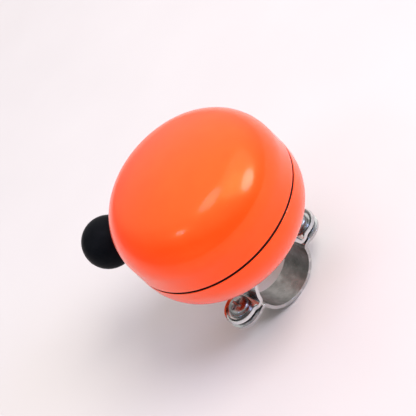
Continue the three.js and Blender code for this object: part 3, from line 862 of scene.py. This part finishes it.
def dress_frame():
    """Gives every CAD node that is still shown its finish and slightly rounded edges."""
    slots = {row["node"]: row["material_slot"] for row in frame["record"]["subparts"]}
    for node, obj in frame["nodes"].items():
        obj.data.materials.clear()
        obj.data.materials.append(LOOKS[slots[node]])
        if node in ("top_dome", "lower_shell", "lever_knob"):
            continue
        bevel = obj.modifiers.new("edges", "BEVEL")
        bevel.width = 0.12 * MM
        bevel.segments = 2
        bevel.limit_method = "ANGLE"
        bevel.angle_limit = 40 * DEG


# ---- Studio ----

COOL = (0.85, 1, 1.8)


def direction(azimuth, elevation):
    """A unit vector: azimuth from +X towards +Y, elevation above the horizon, in degrees."""
    a, e = azimuth * DEG, elevation * DEG
    return Vector((math.cos(a) * math.cos(e), math.sin(a) * math.cos(e), math.sin(e)))


def area_light(name, towards, distance, size, radiance, tint=(1, 1, 1)):
    """A soft elliptical light of the given width and length, aimed at the middle of the bell."""
    data = bpy.data.lights.new(name, "AREA")
    data.shape = "ELLIPSE"
    data.size, data.size_y = size
    data.energy = radiance * math.pi * math.pi / 4 * size[0] * size[1]
    data.color = tint
    light = bpy.data.objects.new(name, data)
    facing = towards.to_track_quat("Z", "Y").to_matrix().to_4x4()
    light.matrix_world = Matrix.Translation(Vector((0, 0, SEAM_Z)) + towards * distance) @ facing
    bpy.context.collection.objects.link(light)
    return light


def sky():
    """Soft light that is strongest from high on the +X side and fades towards the -X side."""
    world = bpy.data.worlds.new("studio")
    bpy.context.scene.world = world
    world.use_nodes = True
    nodes, links = world.node_tree.nodes, world.node_tree.links
    towards = nodes.new("ShaderNodeVectorMath")
    towards.operation = "DOT_PRODUCT"
    towards.inputs[1].default_value = direction(15, 65)
    links.new(nodes.new("ShaderNodeTexCoord").outputs["Generated"], towards.inputs[0])
    ramp = nodes.new("ShaderNodeMapRange")
    for socket, number in {"From Min": 0.1, "From Max": 0.9, "To Min": 0.32, "To Max": 1.5}.items():
        ramp.inputs[socket].default_value = number
    links.new(towards.outputs["Value"], ramp.inputs["Value"])
    background = nodes["Background"]
    background.inputs["Color"].default_value = (1, 0.97, 0.94, 1)
    links.new(ramp.outputs["Result"], background.inputs["Strength"])


def studio():
    """The floor, the sky and the lights. Key and fill light the bell without showing in its gloss."""
    bm = bmesh.new()
    half = 3
    corners = ((-half, -half), (half, -half), (half, half), (-half, half))
    bm.faces.new([bm.verts.new((x, y, 0)) for x, y in corners])
    floor = add_object("floor", bm, floor_paper())
    floor.location.z = cad_bounds[0][2] - 0.1 * MM
    sky()
    area_light("softbox", direction(-35, 45), 1.6, (1.6, 1.6), 0.8)
    area_light("window", direction(-45.5, 28), 1.4, (0.64, 0.48), 6, COOL)
    area_light("strip", direction(-77.5, 79), 1.4, (0.6, 0.52), 2.4, COOL)
    area_light("lamp", direction(-169.5, 55), 1.4, (0.24, 0.18), 5, COOL)
    key = area_light("key", direction(-50, 52), 1.6, (0.84, 0.84), 15, (1, 0.98, 0.92))
    fill = area_light("fill", direction(-160, 8), 1.5, (2, 0.7), 1.8)
    for light in (key, fill):
        light.visible_glossy = False


def camera():
    """The photograph's view: 40 degrees above the seam plane, with the bell leaning to the left."""
    azimuth, elevation, roll = -12.7 * DEG, 40.2 * DEG, 46.4 * DEG
    distance = 10 * BELL_R
    drop = 0.37 * MM
    flat = math.cos(elevation)
    back = Vector((math.sin(azimuth) * flat, -math.cos(azimuth) * flat, math.sin(elevation)))
    level = Vector((math.cos(azimuth), math.sin(azimuth), 0))
    upright = back.cross(level)
    up = upright * math.cos(roll) + level * math.sin(roll)
    right = level * math.cos(roll) - upright * math.sin(roll)
    data = bpy.data.cameras.new("camera")
    data.lens = 84.9
    data.sensor_width = 36
    data.clip_start = 0.01
    data.clip_end = 20
    rig = bpy.data.objects.new("camera", data)
    spot = Vector((0, 0, SEAM_Z)) + back * distance - up * drop
    turn = Matrix((right, up, back)).transposed().to_4x4()
    rig.matrix_world = Matrix.Translation(spot) @ turn
    bpy.context.collection.objects.link(rig)
    bpy.context.scene.camera = rig
    bpy.context.scene.view_settings.view_transform = "Standard"


camera()
studio()
dress_frame()
top_dome()
lower_shell()
knob()
clamp_half("saddle_pressing", "clamp_saddle", True)
clamp_half("strap_pressing", "clamp_strap", False)
for side in ("left", "right"):
    clamp_screw("clamp_screw_" + side)
    clamp_nut("clamp_nut_" + side)
base_screw()
fine_ring("fibre_washer", "spacer_washer", "fibre", 2.7 * MM, 0.25 * MM)
